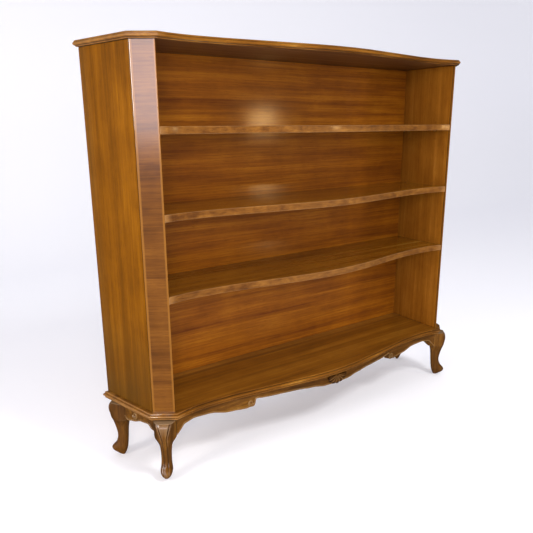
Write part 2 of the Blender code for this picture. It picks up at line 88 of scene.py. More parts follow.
# Walnut, sliced veneer or solid, stained and finished with many thin coats of rubbed-down varnish.
# The eye gets long streaks along the grain, soft bands, short dark pores and a clear gloss over it.
def walnut(name, look):
    made, tree = newMaterial(name)
    place = addNode(tree, "ShaderNodeTexCoord").outputs["Object"]
    # wavy grain: the place is pushed sideways by a slow noise
    sway = addNode(tree, "ShaderNodeTexNoise",
                   {"Vector": place, "Scale": look["swayScale"], "Detail": 2.0})
    pushed = addNode(tree, "ShaderNodeVectorMath", {0: sway.outputs["Color"], 1: (0.5, 0.5, 0.5)},
                     operation="SUBTRACT")
    pushed = addNode(tree, "ShaderNodeVectorMath", {0: pushed.outputs[0], "Scale": look["sway"]},
                     operation="SCALE")
    pushed = addNode(tree, "ShaderNodeVectorMath", {0: pushed.outputs[0], 1: place}, operation="ADD")
    spot = pushed.outputs[0]
    axes = addNode(tree, "ShaderNodeSeparateXYZ", {0: place})
    leafTone = None
    if "leaf" in look:   # leaves of veneer laid side by side: each has its own tone and its own grain
        axis, start, width = look["leaf"]
        run = addNode(tree, "ShaderNodeMath", {0: axes.outputs[axis], 1: start}, operation="SUBTRACT")
        run = addNode(tree, "ShaderNodeMath", {0: run.outputs[0], 1: width}, operation="DIVIDE")
        leaf = addNode(tree, "ShaderNodeMath", {0: run.outputs[0]}, operation="FLOOR")
        leafTone = addNode(tree, "ShaderNodeTexWhiteNoise", {"W": leaf.outputs[0]},
                           noise_dimensions="1D").outputs["Value"]
        shift = addNode(tree, "ShaderNodeMath", {0: leafTone, 1: 0.35}, operation="MULTIPLY")
        shift = addNode(tree, "ShaderNodeCombineXYZ", {n: shift.outputs[0] for n in (0, 1, 2)})
        spot = addNode(tree, "ShaderNodeVectorMath", {0: spot, 1: shift.outputs[0]},
                       operation="ADD").outputs[0]
        near = addNode(tree, "ShaderNodeMath", {0: run.outputs[0], 1: 1.0}, operation="PINGPONG")
        joint = addNode(tree, "ShaderNodeMapRange", {"Value": near.outputs[0], 1: 0.0, 3: 1.0, 4: 0.0,
                                                     2: look["jointWidth"] / width})
    grain = addNode(tree, "ShaderNodeMapping", {"Vector": spot, "Rotation": look.get("turn", (0, 0, 0)),
                                                "Scale": look["grainScale"]}).outputs["Vector"]
    bands = addNode(tree, "ShaderNodeTexNoise",
                    {"Vector": grain, "Scale": 1.0, "Detail": 3.0, "Roughness": 0.55})
    streaks = addNode(tree, "ShaderNodeTexNoise",
                      {"Vector": grain, "Scale": 5.5, "Detail": 5.0, "Roughness": 0.62})
    pores = addNode(tree, "ShaderNodeTexNoise",
                    {"Vector": grain, "Scale": 34.0, "Detail": 2.0, "Roughness": 0.6})
    mottle = addNode(tree, "ShaderNodeTexNoise",
                     {"Vector": spot, "Scale": look["mottleScale"], "Detail": 3.0, "Roughness": 0.5})
    figure = addNode(tree, "ShaderNodeMath", {0: bands.outputs[0], 1: look["bandShare"]},
                     operation="MULTIPLY")
    figure = addNode(tree, "ShaderNodeMath",
                     {0: streaks.outputs[0], 1: look["streakShare"], 2: figure.outputs[0]},
                     operation="MULTIPLY_ADD")
    figure = addNode(tree, "ShaderNodeMath",
                     {0: mottle.outputs[0], 1: look["mottleShare"], 2: figure.outputs[0]},
                     operation="MULTIPLY_ADD")
    figure = figure.outputs[0]
    if leafTone:
        figure = addNode(tree, "ShaderNodeMath", {0: leafTone, 1: look["leafShare"], 2: figure},
                         operation="MULTIPLY_ADD").outputs[0]
    spread = addNode(tree, "ShaderNodeMapRange",
                     {"Value": figure, 1: look["figureLow"], 2: look["figureHigh"], 3: 0.0, 4: 1.0})
    colour = rampOf(tree, spread.outputs[0], look["colours"])
    # open pores, filled dark with polish
    poreMask = addNode(tree, "ShaderNodeMapRange",
                       {"Value": pores.outputs[0], 1: 0.56, 2: 0.70, 3: 0.0, 4: look["poreDepth"]})
    colour = addNode(tree, "ShaderNodeMix", {0: poreMask.outputs[0], 6: colour,
                                             7: linear(look["poreColour"])}, data_type="RGBA").outputs[2]
    for axis, low, high, share, paintedShade in look.get("paintedShades", ()):   # painted shade: darker towards a given colour along one axis, broken up by the mottle
        shadeMask = addNode(tree, "ShaderNodeMapRange",
                       {"Value": axes.outputs[axis], 1: low, 2: high, 3: 0.0, 4: share},
                       interpolation_type="SMOOTHSTEP")
        rough = addNode(tree, "ShaderNodeMath", {0: mottle.outputs[0], 1: 1.9, 2: shadeMask.outputs[0]},
                        operation="MULTIPLY")
        rough = addNode(tree, "ShaderNodeMath", {0: rough.outputs[0], 1: shadeMask.outputs[0]},
                        operation="MULTIPLY", use_clamp=True)
        colour = addNode(tree, "ShaderNodeMix", {0: rough.outputs[0], 6: colour, 7: linear(paintedShade)},
                         data_type="RGBA").outputs[2]
    if "leaf" in look:
        dark = addNode(tree, "ShaderNodeMath", {0: joint.outputs[0], 1: look["jointDepth"]},
                       operation="MULTIPLY")
        colour = addNode(tree, "ShaderNodeMix", {0: dark.outputs[0], 6: colour,
                                                 7: linear(look["poreColour"])},
                         data_type="RGBA").outputs[2]
    if "wearAndHighlight" in look:   # raised edges painted lighter, partly rubbed wear and partly a painted highlight; hollows painted dark, partly old polish and partly painted shade
        wornAndLit = addNode(tree, "ShaderNodeAttribute", attribute_name="wearAndHighlight").outputs["Fac"]
        light = addNode(tree, "ShaderNodeMapRange",
                        {"Value": wornAndLit, 1: look["wearAndHighlightFrom"], 2: look["wearAndHighlightTo"], 3: 0.0, 4: look["wearAndHighlight"]})
        colour = addNode(tree, "ShaderNodeMix", {0: light.outputs[0], 6: colour,
                                                 7: linear(look["wornAndHighlightColour"])},
                         data_type="RGBA").outputs[2]
        deep = addNode(tree, "ShaderNodeMapRange",
                       {"Value": wornAndLit, 1: -0.02, 2: -0.14, 3: 0.0, 4: 0.88})
        colour = addNode(tree, "ShaderNodeMix", {0: deep.outputs[0], 6: colour,
                                                 7: linear(look["poreColour"])},
                         data_type="RGBA").outputs[2]
    if "arris" in look:   # solid edge strips on a veneered post, painted lighter, partly their own tone and partly a painted highlight: distance along its face from the middle
        middle, along, inner, outer, stripAndHighlightColour = look["arris"]
        side = addNode(tree, "ShaderNodeMath", {0: axes.outputs[0]}, operation="ABSOLUTE")
        flat = addNode(tree, "ShaderNodeCombineXYZ", {0: side.outputs[0], 1: axes.outputs[1]})
        away = addNode(tree, "ShaderNodeVectorMath", {0: flat.outputs[0], 1: middle},
                       operation="SUBTRACT")
        away = addNode(tree, "ShaderNodeVectorMath", {0: away.outputs[0], 1: along},
                       operation="DOT_PRODUCT")
        away = addNode(tree, "ShaderNodeMath", {0: away.outputs["Value"]}, operation="ABSOLUTE")
        strip = addNode(tree, "ShaderNodeMapRange",
                        {"Value": away.outputs[0], 1: inner, 2: outer, 3: 0.0, 4: 0.8})
        colour = addNode(tree, "ShaderNodeMix", {0: strip.outputs[0], 6: colour,
                                                 7: linear(stripAndHighlightColour)}, data_type="RGBA").outputs[2]
    rough = addNode(tree, "ShaderNodeMapRange", {"Value": streaks.outputs[0], 1: 0.3, 2: 0.7,
                                                 3: look["roughLow"], 4: look["roughHigh"]})
    height = addNode(tree, "ShaderNodeMath", {0: poreMask.outputs[0], 1: -1.0}, operation="MULTIPLY")
    height = addNode(tree, "ShaderNodeMath", {0: streaks.outputs[0], 1: 0.35, 2: height.outputs[0]},
                     operation="MULTIPLY_ADD")
    bump = addNode(tree, "ShaderNodeBump", {"Strength": look["bump"], "Distance": 0.0004,
                                            "Height": height.outputs[0]})
    # varnish: slow waves left by rubbing down
    wave = addNode(tree, "ShaderNodeTexNoise", {"Vector": place, "Scale": 9.0, "Detail": 2.0})
    skin = addNode(tree, "ShaderNodeBump", {"Strength": look["skin"], "Distance": 0.002,
                                            "Height": wave.outputs[0]})
    shader = addNode(tree, "ShaderNodeBsdfPrincipled",
                     {"Base Color": colour, "Roughness": rough.outputs[0], "IOR": 1.5,
                      "Specular IOR Level": look["specular"], "Normal": bump.outputs[0],
                      "Coat Weight": look["coat"], "Coat Roughness": look["coatRoughness"],
                      "Coat IOR": 1.5, "Coat Normal": skin.outputs[0]})
    addNode(tree, "ShaderNodeOutputMaterial", {"Surface": shader.outputs[0]})
    return made


# Softwood or plywood, planed and left without a finish: dull, with early and late wood in pale bands.
def plainBoard(name, look):
    made, tree = newMaterial(name)
    place = addNode(tree, "ShaderNodeTexCoord").outputs["Object"]
    grain = addNode(tree, "ShaderNodeMapping", {"Vector": place, "Scale": look["grainScale"]}).outputs[0]
    bands = addNode(tree, "ShaderNodeTexNoise", {"Vector": grain, "Scale": 1.6, "Detail": 4.0})
    fibre = addNode(tree, "ShaderNodeTexNoise", {"Vector": grain, "Scale": 14.0, "Detail": 4.0})
    spots = addNode(tree, "ShaderNodeTexNoise", {"Vector": place, "Scale": 5.0, "Detail": 3.0})
    tone = addNode(tree, "ShaderNodeMath", {0: fibre.outputs[0], 1: 0.35, 2: bands.outputs[0]},
                   operation="MULTIPLY_ADD")
    tone = addNode(tree, "ShaderNodeMath", {0: spots.outputs[0], 1: 0.25, 2: tone.outputs[0]},
                   operation="MULTIPLY_ADD")
    spread = addNode(tree, "ShaderNodeMapRange", {"Value": tone.outputs[0], 1: 0.5, 2: 1.1})
    colour = rampOf(tree, spread.outputs[0], look["colours"])
    bump = addNode(tree, "ShaderNodeBump", {"Strength": look["bump"], "Distance": 0.0006,
                                            "Height": fibre.outputs[0]})
    shader = addNode(tree, "ShaderNodeBsdfPrincipled",
                     {"Base Color": colour, "Roughness": look["rough"], "Normal": bump.outputs[0]})
    addNode(tree, "ShaderNodeOutputMaterial", {"Surface": shader.outputs[0]})
    return made


# Turned or rolled metal: fine lines left by the tool, a duller skin in patches.
def toolMarkedMetal(name, look):
    made, tree = newMaterial(name)
    place = addNode(tree, "ShaderNodeTexCoord").outputs["Object"]
    lines = addNode(tree, "ShaderNodeMapping", {"Vector": place, "Scale": look["lineScale"]}).outputs[0]
    lines = addNode(tree, "ShaderNodeTexNoise", {"Vector": lines, "Scale": 1.0, "Detail": 3.0})
    patches = addNode(tree, "ShaderNodeTexNoise",
                      {"Vector": place, "Scale": look["patchScale"], "Detail": 4.0})
    colour = rampOf(tree, patches.outputs[0], look["colours"])
    rough = addNode(tree, "ShaderNodeMapRange", {"Value": patches.outputs[0], 1: 0.3, 2: 0.7,
                                                 3: look["roughLow"], 4: look["roughHigh"]})
    bump = addNode(tree, "ShaderNodeBump",
                   {"Strength": 0.2, "Distance": 0.0001, "Height": lines.outputs[0]})
    shader = addNode(tree, "ShaderNodeBsdfPrincipled",
                     {"Base Color": colour, "Metallic": 1.0, "Roughness": rough.outputs[0],
                      "Normal": bump.outputs[0]})
    addNode(tree, "ShaderNodeOutputMaterial", {"Surface": shader.outputs[0]})
    return made


# grainScale: across the grain a band is about 28 mm wide, a streak 5 mm and a pore 1 mm, coarser than
# real pores so that they show; along the grain each is some 40 times as long
panelLook = dict(swayScale=1.6, sway=0.016, mottleScale=9.0, bandShare=0.62, streakShare=0.34,
                 mottleShare=0.14, figureLow=0.36, figureHigh=0.72, poreDepth=0.55, poreColour="#38190A",
                 roughLow=0.40, roughHigh=0.55, bump=0.12, skin=0.05, specular=0.12, coat=0.8,
                 coatRoughness=0.12)

# the outside of the case: golden in the middle, with painted shade low down and along the rear edge
sideLook = dict(panelLook, grainScale=(40.0, 40.0, 0.9), bandShare=0.44, streakShare=0.38,
                mottleShare=0.28, figureLow=0.25, figureHigh=0.79, specular=0.03,
                coatRoughness=0.07,
                colours=((0.0, "#442602"), (0.28, "#603803"), (0.55, "#794803"), (0.78, "#8E5806"),
                         (1.0, "#A46E16")),
                paintedShades=((2, 0.60, 0.20, 0.60, "#4A3412"),
                        (1, backPlane - 0.07, backPlane, 0.35, "#5A4020")))
# the back: the same veneer laid lengthwise, redder, with finer streaks
backLook = dict(panelLook, grainScale=(0.65, 36.0, 36.0), bandShare=0.50, streakShare=0.40,
                mottleShare=0.20, figureLow=0.28, figureHigh=0.82,
                colours=((0.0, "#4E260A"), (0.25, "#723C10"), (0.5, "#905210"), (0.75, "#AA6816"),
                         (1.0, "#C68A2A")))
# shelves and top: lengthwise veneer with the most varnish on it
flatLook = dict(panelLook, grainScale=(0.70, 34.0, 34.0), figureLow=0.31,
                colours=((0.0, "#43240A"), (0.3, "#5F3808"), (0.6, "#79490A"), (0.85, "#8E5C14"),
                         (1.0, "#A27426")), coatRoughness=0.07, coat=1.0)


def nodeMesh(node):   # a copy of a CAD node, its loose triangles joined and its flats made whole
    bm = bmesh.new()
    bm.from_mesh(nodes[node].data)
    bmesh.ops.remove_doubles(bm, verts=bm.verts, dist=0.00002)
    bmesh.ops.dissolve_limit(bm, angle_limit=radians(0.4), verts=bm.verts, edges=bm.edges)
    return bm


def bevelEdges(bm, edges, width, segments=3):
    bmesh.ops.bevel(bm, geom=list(edges), offset=width, offset_type="OFFSET", segments=segments,
                    profile=0.5, affect="EDGES", clamp_overlap=True, material=-1)


def sharpEdges(bm, angle=30.0, shortest=0.012):   # edges worth rounding
    return [e for e in bm.edges if len(e.link_faces) == 2 and e.calc_face_angle(0.0) > radians(angle)
            and e.calc_length() > shortest]


def markWearAndHighlight(bm):   # how far each point stands out from its neighbours, for the mask of worn edges with painted highlight and hollows with painted shade
    bm.normal_update()
    wearAndHighlight = bm.verts.layers.float.get("wearAndHighlight") or bm.verts.layers.float.new("wearAndHighlight")
    for vert in bm.verts:
        out = 0.0
        for edge in vert.link_edges:
            out += vert.normal.dot((vert.co - edge.other_vert(vert).co).normalized())
        vert[wearAndHighlight] = out / max(1, len(vert.link_edges))


def loftRings(rings, sides, pointAt):   # rings of points joined into a tube, closed at both ends
    bm = bmesh.new()
    bmesh.ops.create_circle(bm, cap_ends=True, segments=sides, radius=1.0)
    order = bm.verts.layers.int.new("order")
    for n, vert in enumerate(bm.verts):
        vert[order] = n
        vert.co = pointAt(0, n)
    line = list(bm.edges)
    for ring in range(1, rings):
        grown = bmesh.ops.extrude_edge_only(bm, edges=line)["geom"]
        fresh = {g for g in grown if isinstance(g, bmesh.types.BMVert)}
        line = [g for g in grown if isinstance(g, bmesh.types.BMEdge) and fresh.issuperset(g.verts)]
        for vert in fresh:
            vert.co = pointAt(ring, vert[order])
    bmesh.ops.holes_fill(bm, edges=line, sides=0)
    return bm


def smoothAt(table, place):   # smooth values between the rows of a table; the first column is the place
    for n in range(len(table) - 1):
        if place <= table[n + 1][0] or n == len(table) - 2:
            break
    rows = [table[max(0, min(len(table) - 1, n + k))] for k in (-1, 0, 1, 2)]
    width = rows[2][0] - rows[1][0]
    share = (place - rows[1][0]) / width
    result = []
    for column in range(1, len(table[0])):
        slopes = []
        for before, after in ((rows[0], rows[2]), (rows[1], rows[3])):
            slopes.append((after[column] - before[column]) / (after[0] - before[0]) * width)
        low, high = rows[1][column], rows[2][column]
        leaving = (share ** 3 - 2 * share ** 2 + share) * slopes[0]
        arriving = (share ** 3 - share ** 2) * slopes[1]
        result.append((2 * share ** 3 - 3 * share ** 2 + 1) * low + leaving
                      + (3 * share ** 2 - 2 * share ** 3) * high + arriving)
    return result


# the finished piece: cleaned, shaded, given its material, its body and what it replaces
def addPiece(name, bm, material, body, slot, replaced=(), angle=35.0, weighted=True):
    bmesh.ops.remove_doubles(bm, verts=bm.verts, dist=0.000001)
    bmesh.ops.recalc_face_normals(bm, faces=bm.faces)
    mesh = bpy.data.meshes.new(name)
    bm.to_mesh(mesh)
    bm.free()
    mesh.polygons.foreach_set("use_smooth", [True] * len(mesh.polygons))
    mesh.set_sharp_from_angle(angle=radians(angle))
    mesh.materials.append(material)
    piece = bpy.data.objects.new(name, mesh)
    bpy.context.scene.collection.objects.link(piece)
    if weighted:   # broad flats stay flat beside their rounded edges
        normals = piece.modifiers.new("weighted normals", "WEIGHTED_NORMAL")
        normals.keep_sharp = True
    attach(piece, body)
    if replaced:
        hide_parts(*replaced)
    return piece


panel = dict(arris=0.0012, liningArris=0.0010, backArris=0.0008, postArris=0.0045, postEnd=0.0008,
             leafWidth=0.161, stripInner=0.0275, stripOuter=0.0300)

sideWalnut = walnut("walnut_veneer_vertical_varnished", sideLook)
# inside the case: painted shade, darker towards the back
liningWalnut = walnut("walnut_veneer_inside_varnished", dict(
    sideLook, colours=((0.0, "#663810"), (0.28, "#885014"), (0.55, "#A0641C"), (0.78, "#B67626"),
                       (1.0, "#CA8E3A")), paintedShades=((1, 0.02, 0.17, 0.25, "#4A2A0C"),)))
backWalnut = walnut("walnut_veneer_lengthwise_varnished", backLook)
# poplar plywood as it comes from the mill: pale, dull, with long soft bands
plainWood = plainBoard("poplar_plywood_unfinished", dict(
    grainScale=(1.2, 30.0, 30.0), colours=((0.0, "#8A6238"), (0.45, "#A87E4C"), (0.8, "#BC9460"),
                                          (1.0, "#C8A472")), rough=0.82, bump=0.25))

for side in ("left", "right"):
    bm = nodeMesh("side_panel_" + side)
    bevelEdges(bm, sharpEdges(bm, 30.0, 0.004), panel["arris"])
    addPiece("veneered_side_" + side, bm, sideWalnut, "case", "walnut_veneer", ["side_panel_" + side])
    bm = nodeMesh("side_lining_" + side)
    bevelEdges(bm, sharpEdges(bm, 50.0), panel["liningArris"], 2)
    addPiece("veneered_lining_" + side, bm, liningWalnut, "case", "walnut_veneer",
             ["side_lining_" + side])

bm = nodeMesh("back_panel")
bevelEdges(bm, sharpEdges(bm), panel["backArris"], 2)
for face in bm.faces:   # the side to the wall is left unfinished
    face.material_index = 1 if face.normal.y > 0.9 else 0
piece = addPiece("veneered_back", bm, backWalnut, "case", "walnut_veneer", ["back_panel"])
piece.data.materials.append(plainWood)

# the post's face in plan: its middle, and the direction along it
corners = sorted((v.co.x, v.co.y) for v in nodes["corner_post_left"].data.vertices)
faceBack = Vector(corners[0])
faceFront = Vector(min(corners, key=lambda p: p[1]))
faceMiddle = (faceBack + faceFront) / 2
faceAlong = (faceFront - faceBack).normalized()
# crossbanding: short leaves with their grain across the post, between two solid edge strips painted
# lighter, partly their own tone and partly a painted highlight
postLook = dict(panelLook, grainScale=(0.9, 0.9, 34.0), bandShare=0.28, streakShare=0.30,
                mottleShare=0.30,
                colours=((0.0, "#4A2808"), (0.3, "#643A0A"), (0.6, "#764810"), (0.85, "#865818"),
                         (1.0, "#946828")),
                leaf=(2, caseTop, panel["leafWidth"]), leafShare=0.10, jointWidth=0.0011, jointDepth=0.7,
                arris=((-faceMiddle.x, faceMiddle.y, 0.0), (-faceAlong.x, faceAlong.y, 0.0),
                       panel["stripInner"], panel["stripOuter"], "#8A5A1C"),
                coat=1.0, coatRoughness=0.16)
postWalnut = walnut("walnut_crossband_varnished", postLook)
for side in ("left", "right"):
    bm = nodeMesh("corner_post_" + side)
    front = [e for e in sharpEdges(bm) if abs(e.verts[0].co.z - e.verts[1].co.z) > 0.5
             and min((e.verts[0].co.xy - Vector((sign * p.x, p.y))).length
                     for p in (faceBack, faceFront) for sign in (1, -1)) < 0.001]
    bevelEdges(bm, front, panel["postArris"], 5)
    bevelEdges(bm, sharpEdges(bm, 60.0), panel["postEnd"], 2)
    addPiece("crossbanded_post_" + side, bm, postWalnut, "case", "walnut_solid", ["corner_post_" + side])
print("case panels and posts done")


topEdge = dict(   # (share of the overhang, share of the thickness), underside first
    overhang=0.017, thickness=0.018, flatFrom=0.003,
    shape=((0.36, 0.00), (0.46, 0.03), (0.50, 0.09), (0.50, 0.15), (0.62, 0.17), (0.78, 0.21),
           (0.91, 0.28), (0.98, 0.37), (1.00, 0.47), (0.97, 0.57), (0.90, 0.65), (0.80, 0.69),
           (0.76, 0.72), (0.76, 0.78), (0.73, 0.85), (0.66, 0.92), (0.56, 0.97), (0.42, 1.00)))
baseEdge = dict(
    overhang=0.019, thickness=0.024, flatFrom=0.003,
    shape=((0.22, 0.00), (0.42, 0.03), (0.55, 0.08), (0.63, 0.15), (0.66, 0.22), (0.63, 0.29),
           (0.50, 0.34), (0.46, 0.38), (0.62, 0.40), (0.84, 0.44), (0.96, 0.51), (1.00, 0.59),
           (0.98, 0.68), (0.90, 0.75), (0.78, 0.79), (0.64, 0.80), (0.60, 0.84), (0.60, 0.92),
           (0.55, 0.97), (0.46, 1.00)))


def caseOutline():   # the base board's upper face follows the case exactly
    bm = nodeMesh("base_board")
    face = max(bm.faces, key=lambda f: (round(f.calc_center_median().z, 4), f.calc_area()))
    points = [v.co.copy() for v in face.verts]
    bm.free()
    return points


def mouldedPlate(outline, edge, low):   # the outline grown and shrunk up the moulding's section
    bm = bmesh.new()
    face = bm.faces.new([bm.verts.new((p.x, p.y, low)) for p in outline])
    bm.normal_update()
    if face.normal.z < 0:
        face.normal_flip()
    lastOut, lastUp = 0.0, 0.0
    for out, up in edge["shape"]:
        grow = (out - lastOut) * edge["overhang"]
        rise = (up - lastUp) * edge["thickness"]
        if lastOut == 0.0 and up == 0.0:   # the underside starts as the outline, grown in place
            bmesh.ops.inset_region(bm, faces=[face], thickness=-grow, depth=0.0, use_even_offset=True,
                                   use_boundary=True)
            others = [f for f in bm.faces if f is not face]
            bmesh.ops.delete(bm, geom=others, context="FACES")
        else:
            bmesh.ops.inset_region(bm, faces=[face], thickness=-grow, depth=rise, use_even_offset=True,
                                   use_boundary=True)
        lastOut, lastUp = out, up
    bmesh.ops.inset_region(bm, faces=[face], thickness=edge["flatFrom"], use_even_offset=True)
    bmesh.ops.holes_fill(bm, edges=[e for e in bm.edges if e.is_boundary], sides=0)
    # square off along the wall
    bmesh.ops.bisect_plane(bm, geom=bm.verts[:] + bm.edges[:] + bm.faces[:], dist=0.00001,
                           plane_co=(0.0, backPlane, 0.0), plane_no=(0.0, 1.0, 0.0), clear_outer=True)
    bmesh.ops.holes_fill(bm, edges=[e for e in bm.edges if e.is_boundary], sides=0)
    return bm


outline = caseOutline()
# mouldings: the rounds painted paler, partly rubbed and partly a painted highlight, and the quirks
# painted darker, partly old polish and partly painted shade
edgeWalnut = walnut("walnut_moulding_varnished", dict(
    flatLook, colours=((0.0, "#43260A"), (0.3, "#623A0C"), (0.6, "#7C4C10"), (0.85, "#92601C"),
                       (1.0, "#A67830")), coatRoughness=0.14, wearAndHighlight=0.55, wearAndHighlightFrom=0.16, wearAndHighlightTo=0.42,
    wornAndHighlightColour="#A87C48", poreColour="#2C1606"))
# the undersides: painted shade, a darker walnut with little varnish over it
underShadeWalnut = walnut("walnut_veneer_underside_painted_shade", dict(
    flatLook, colours=((0.0, "#3A2416"), (0.3, "#4C301E"), (0.6, "#5C3E28"), (0.85, "#6C4C34"),
                       (1.0, "#7C5C44")), coatRoughness=0.2, coat=0.5))
for name, edge, low, slot, node in (("moulded_top", topEdge, caseTop, "walnut_veneer", "top_panel"),
                                    ("moulded_base", baseEdge, baseLow, "walnut_solid", "base_board")):
    bm = mouldedPlate(outline, edge, low)
    bmesh.ops.recalc_face_normals(bm, faces=bm.faces)
    markWearAndHighlight(bm)
    # faces turned downward take the darker walnut as painted shade
    for face in bm.faces:
        face.material_index = 1 if face.normal.z < -0.9 else 0
    addPiece(name, bm, edgeWalnut, "case", slot, [node], angle=40.0).data.materials.append(underShadeWalnut)
print("moulded plates done")


shelf = dict(arris=0.0008, lippingArris=0.0022)
shelfWalnut = walnut("walnut_veneer_shelf_varnished", flatLook)
# lippings: solid strips with short wavy grain, their upper edges painted pale, partly rubbed and partly
# a painted highlight
lippingWalnut = walnut("walnut_solid_lipping_varnished", dict(
    panelLook, grainScale=(5.0, 60.0, 60.0), swayScale=9.0, sway=0.008, mottleScale=30.0,
    bandShare=0.34, streakShare=0.38, mottleShare=0.36, figureLow=0.34, figureHigh=0.80,
    colours=((0.0, "#40220C"), (0.28, "#623A14"), (0.55, "#7E501C"), (0.8, "#946428"), (1.0, "#AE8444")),
    wearAndHighlight=0.60, wearAndHighlightFrom=0.06, wearAndHighlightTo=0.22, wornAndHighlightColour="#B58A5A", coatRoughness=0.14))
for name in shelfNames:
    bm = nodeMesh("shelf_" + name)
    bevelEdges(bm, sharpEdges(bm), shelf["arris"], 2)
    addPiece("veneered_shelf_" + name, bm, shelfWalnut, "shelf_" + name, "walnut_veneer",
             ["shelf_" + name])
    bm = nodeMesh("shelf_lipping_" + name)
    bevelEdges(bm, sharpEdges(bm, 60.0, 0.004), shelf["lippingArris"], 3)
    markWearAndHighlight(bm)
    addPiece("solid_lipping_" + name, bm, lippingWalnut, "shelf_" + name, "walnut_lipping",
             ["shelf_lipping_" + name])
print("shelves done")


# Cabriole legs: a raised ridge runs down the middle between two grooves and opens into a flat
# three-cornered facet on the knee; the foot is a small scroll with a pointed toe.
leg = dict(
    rings=88, sides=132, footDepth=0.010,
    stations=(   # share of the height, inner depth, outer depth, half width, squareness
        (0.000, 0.004, 0.016, 0.0050, 2.2), (0.030, 0.000, 0.027, 0.0092, 2.2),
        (0.070, -0.004, 0.039, 0.0140, 2.4), (0.120, -0.007, 0.0445, 0.0186, 2.6),
        (0.165, -0.009, 0.041, 0.0200, 2.6), (0.240, -0.011, 0.028, 0.0178, 2.6),
        (0.340, -0.013, 0.021, 0.0168, 2.6), (0.470, -0.015, 0.0235, 0.0178, 2.8),
        (0.590, -0.018, 0.0300, 0.0215, 3.0), (0.650, -0.021, 0.0345, 0.0280, 3.4),
        (0.705, -0.024, 0.0385, 0.0348, 4.2), (0.780, -0.030, 0.0420, 0.0355, 6.0),
        (0.860, -0.038, 0.0440, 0.0355, 8.0), (0.940, -0.045, 0.0420, 0.0355, 8.0),
        (1.000, -0.045, 0.0340, 0.0355, 8.0)),
    facet=(   # share of the height, groove's distance from the middle, height of what lies inside it
        (0.0, 0.0050, 0.0006), (0.08, 0.0075, 0.0022), (0.30, 0.0062, 0.0020), (0.60, 0.0070, 0.0022),
        (0.72, 0.0066, 0.0018), (0.80, 0.0092, 0.0010), (1.0, 0.0195, 0.0004)),
    narrow=(   # share of the height, how much narrower the front is than the middle
        (0.0, 0.15), (0.25, 0.12), (0.45, 0.28), (0.62, 0.48), (0.78, 0.58), (0.88, 0.46), (1.0, 0.28)),
    grooveWidth=0.0022, grooveDepth=0.0016, lipIn=0.0035, lipWidth=0.0024, lipHeight=0.0006,
    frontFrom=0.35, facetFrom=0.74, facetFade=0.16, facetWidth=0.86, facetSheen=0.085, wearAndHighlightGain=1.6,
    facetDeep=0.010)


def legPiece(node):   # one leg, set by its CAD node's foot and block
    mesh = nodes[node].data
    low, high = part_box(node)
    foot = sum((v.co for v in mesh.vertices if v.co.z < low.z + 0.0005), Vector())
    foot /= len([v for v in mesh.vertices if v.co.z < low.z + 0.0005])
    block = sum((v.co for v in mesh.vertices if v.co.z > high.z - 0.0005), Vector())
    block /= len([v for v in mesh.vertices if v.co.z > high.z - 0.0005])
    outward = (foot - block)
    outward.z = 0.0
    outward.normalize()
    middle = Vector((foot.x, foot.y, low.z)) - outward * leg["footDepth"]
    across = Vector((-outward.y, outward.x, 0.0))

    def pointAt(ring, side):
        share = ring / (leg["rings"] - 1)
        inner, outer, half, square = smoothAt(leg["stations"], share)
        angle = 2.0 * pi * (side + 0.5) / leg["sides"]
        swell = (abs(cos(angle)) ** square + abs(sin(angle)) ** square) ** (-1.0 / square)
        wide = half * swell * cos(angle)
        deep = (inner + outer) / 2 + (outer - inner) / 2 * swell * sin(angle)
        if deep > 0.0:   # the knee and shin draw in towards the front
            wide *= 1.0 - smoothAt(leg["narrow"], share)[0] * min(1.0, deep / max(0.010, outer)) ** 1.4
        front = max(0.0, min(1.0, (deep - (inner + outer) / 2) / (leg["frontFrom"] * (outer - inner))))
        groove, height = smoothAt(leg["facet"], share)
        power = 2.0 + 10.0 * max(0.0, share - 0.70)
        inside = min(1.0, abs(wide) / groove)
        raised = height * (1.0 - inside ** power)
        raised -= leg["grooveDepth"] * exp(-((abs(wide) - groove) / leg["grooveWidth"]) ** 2)
        raised += leg["lipHeight"] * exp(-((abs(wide) - half + leg["lipIn"]) / leg["lipWidth"]) ** 2)
        fade = min(1.0, share / 0.06, (1.0 - share) / 0.02)
        deep += raised * front * fade
        return middle + across * wide + outward * deep + Vector((0.0, 0.0, (high.z - low.z) * share))

    bm = loftRings(leg["rings"], leg["sides"], pointAt)
    bm.normal_update()
    markWearAndHighlight(bm)
    wearAndHighlight = bm.verts.layers.float["wearAndHighlight"]
    for vert in bm.verts:   # the knee's facet painted paler: a painted sheen
        share = (vert.co.z - low.z) / (high.z - low.z)
        wide = abs((vert.co - middle).dot(across))
        if share > leg["facetFrom"] and wide < smoothAt(leg["facet"], share)[0] * leg["facetWidth"]:
            if (vert.co - middle).dot(outward) > leg["facetDeep"]:
                fade = min(1.0, (share - leg["facetFrom"]) / leg["facetFade"])
                vert[wearAndHighlight] += leg["facetSheen"] * fade
        # the marks of wear, painted highlight and painted shade made stronger
        vert[wearAndHighlight] *= leg["wearAndHighlightGain"]
    return bm


